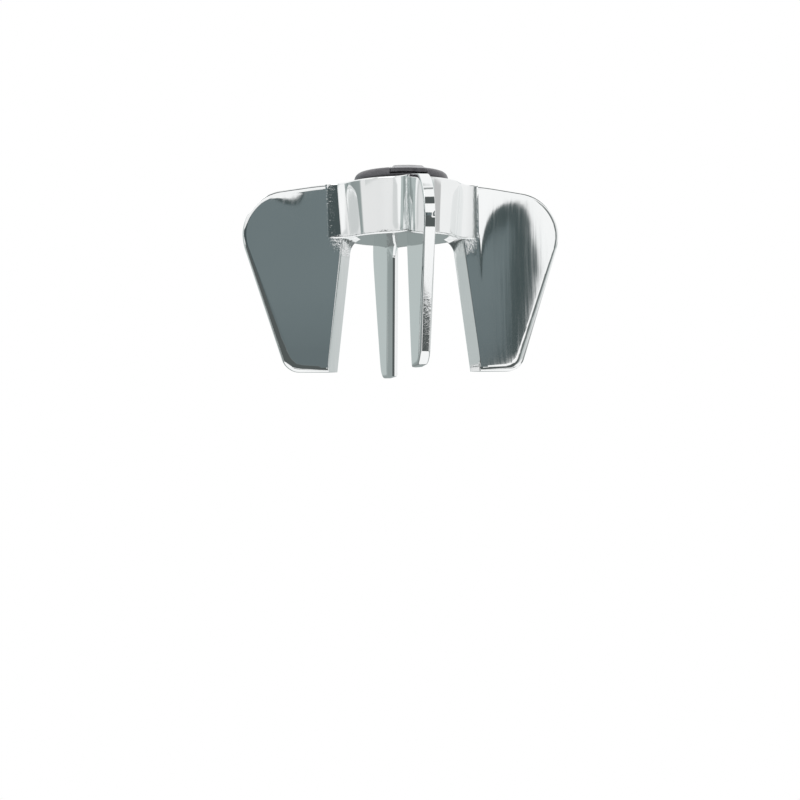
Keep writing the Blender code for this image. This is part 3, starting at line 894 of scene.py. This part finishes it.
# The walls: headings, each with its level, as in a picture, and its share of green
WALL_STOPS = ((-180, 186, 0.10), (-140, 186, 0.10), (-127, 178, 0.10), (-121, 146, 0.12),
              (-97, 152, 0.12), (-93, 226, 0), (-52, 226, 0), (-20, 234, 0), (5, 244, 0),
              (12, 252, 0), (19.3, 252, 0), (20.8, 96, 0.12), (30, 130, 0.10), (40, 228, 0),
              (60, 234, 0), (76, 238, 0), (142, 236, 0), (155, 196, 0.10), (180, 186, 0.10))

# Panels laid over the walls: left, right, low, high, softness, level and green
WALL_PANELS = (
    (-110.0, -94.0, 5.4, 25.0, 0.6, 184, 0.10),
    (-95.0, -56.0, 4.7, 7.6, 0.3, 250, 0),
    (-83.0, -50.0, 2.0, 4.4, 0.3, 208, 0.02),
    (-75.0, -50.0, 7.8, 9.5, 0.3, 188, 0.08),
    (57.0, 73.0, -2.0, 2.6, 0.5, 186, 0),
    (32.0, 57.0, -9.0, 2.2, 0.8, 194, 0.06),
)

# The ground, a low grey card at each side, the ceiling and its middle, and two low cards in front
GROUND_AND_CEILING = (
    (*ALL_ROUND, STRAIGHT_DOWN, -16.0, 4.0, 246, 0),
    (64.0, 200.0, -26.0, -9.0, 2.0, 128, 0.08),
    (-200.0, -66.0, -26.0, -9.0, 2.0, 128, 0.08),
    (*ALL_ROUND, 22.0, STRAIGHT_UP, 4.0, 252, 0),
    (*ALL_ROUND, 80.0, STRAIGHT_UP, 3.0, 200, 0.03),
    (-34.0, 11.0, -23.0, 1.6, 0.5, 88, 0.12),
    (-62.0, 28.0, -23.0, -3.0, 0.8, 88, 0.12),
)

# Two strips overhead and one low in front
STRIPS = (
    (-75.0, 75.0, 34.0, 52.5, 0.8, 88, 0.12),
    (-75.0, 75.0, 72.5, 76.5, 0.5, 150, 0.05),
    (-15.0, 45.0, -35.0, -29.4, 0.3, 88, 0.12),
)

world = bpy.data.worlds.new("studio")
bpy.context.scene.world = world
nodes = Nodes(world)
split = nodes.add("SeparateXYZ", {0: nodes.add("TexCoord").outputs["Generated"]})
to_front = nodes.math("MULTIPLY", split.outputs[1], -1.0)
heading = nodes.math("MULTIPLY", nodes.math("ARCTAN2", split.outputs[0], to_front), DEGREES)
height = nodes.math("MULTIPLY", nodes.math("ARCSINE", split.outputs[2]), DEGREES)


def grey(level, green):
    """Return the linear colour that the chrome shows as one level of a picture."""
    shade = min(1.0, (level / 255) ** 2.2 / CHROME_DIMS)
    return (shade * (1 - green), shade, shade * (1 - green * 0.1), 1)


def patch(left, right, low, high, soft):
    """Mark a patch of directions between two headings and two heights."""
    across = nodes.product(nodes.step(heading, left - soft, left + soft),
                           nodes.step(heading, right + soft, right - soft))
    up = nodes.product(nodes.step(height, low - soft, low + soft),
                       nodes.step(height, high + soft, high - soft))
    return nodes.product(across, up)


def lay_panels(seen, panels):
    """Lay panels one by one over what is seen so far."""
    for left, right, low, high, soft, level, green in panels:
        seen = nodes.mix(patch(left, right, low, high, soft), seen, grey(level, green))
    return seen


walls = nodes.add("ValToRGB", {0: nodes.math("DIVIDE", nodes.math("ADD", heading, 180.0), 360.0)})
stops = walls.color_ramp.elements
while len(stops) < len(WALL_STOPS):
    stops.new(0.5)
for stop, (turn, level, green) in zip(stops, WALL_STOPS):
    stop.position = (turn + 180) / 360
    stop.color = grey(level, green)
room = lay_panels(walls.outputs[0], WALL_PANELS)

# Behind the object the lower part of the walls is darker
behind = nodes.product(nodes.step(nodes.math("ABSOLUTE", heading), *BEHIND_TURN),
                       nodes.step(height, *BEHIND_HEIGHT))
room = nodes.mix(behind, room, grey(*BEHIND_LEVEL))
room = lay_panels(room, GROUND_AND_CEILING)

# The card is cut off slantwise at its ends, and its middle is lighter than its rim
upper_cut = nodes.math("ADD", height, nodes.math("MULTIPLY", heading, UPPER_CUT_SLOPE))
lower_cut = nodes.math("SUBTRACT", heading, nodes.math("MULTIPLY", height, LOWER_CUT_SLOPE))
left_cut = nodes.math("ADD", height, nodes.math("MULTIPLY", heading, LEFT_CUT_SLOPE))
on_card = nodes.product(patch(CARD_LEFT, CARD_RIGHT, CARD_FOOT, CARD_TOP, CARD_SOFT),
                        nodes.step(upper_cut, *UPPER_CUT_EDGE), nodes.step(lower_cut, *LOWER_CUT_EDGE),
                        nodes.step(left_cut, *LEFT_CUT_EDGE))
across = nodes.math("DIVIDE", nodes.math("SUBTRACT", heading, CARD_MIDDLE[0]), MIDDLE_WIDTH)
raised = nodes.math("SUBTRACT", height, CARD_MIDDLE[1])
up = nodes.math("MAXIMUM", nodes.math("DIVIDE", raised, MIDDLE_ABOVE),
                nodes.math("DIVIDE", raised, -MIDDLE_BELOW))
outwards = nodes.math("ADD", nodes.math("MULTIPLY", across, across), nodes.math("MULTIPLY", up, up))
middle = nodes.mix(nodes.step(height, *MIDDLE_RISE), MIDDLE_LOW, MIDDLE_HIGH)
card = nodes.mix(nodes.step(outwards, *MIDDLE_EDGE), CARD_RIM, middle)
room = nodes.mix(on_card, room, card)
room = lay_panels(room, STRIPS)

seen = nodes.mix(nodes.add("LightPath").outputs["Is Camera Ray"], room, (1, 1, 1, 1))
backdrop = nodes.add("Background", {"Color": seen, "Strength": 1.0})
nodes.add("OutputWorld", {"Surface": backdrop.outputs[0]})

# One weak soft lamp from the upper left gives the plastic its highlight
LAMP_PLACE = (-0.55, -0.55, 0.85)
LAMP_AIM = Vector((0, 0, 0.02))
LAMP_SIZE = 0.6
LAMP_POWER = 1.6

bpy.ops.object.light_add(type="AREA", location=LAMP_PLACE)
lamp = bpy.context.object
lamp.name = "soft_lamp"
lamp.data.shape = "DISK"
lamp.data.size = LAMP_SIZE
lamp.data.energy = LAMP_POWER
lamp.rotation_euler = (LAMP_AIM - lamp.location).to_track_quat("-Z", "Y").to_euler()

bpy.context.scene.view_settings.view_transform = "Standard"
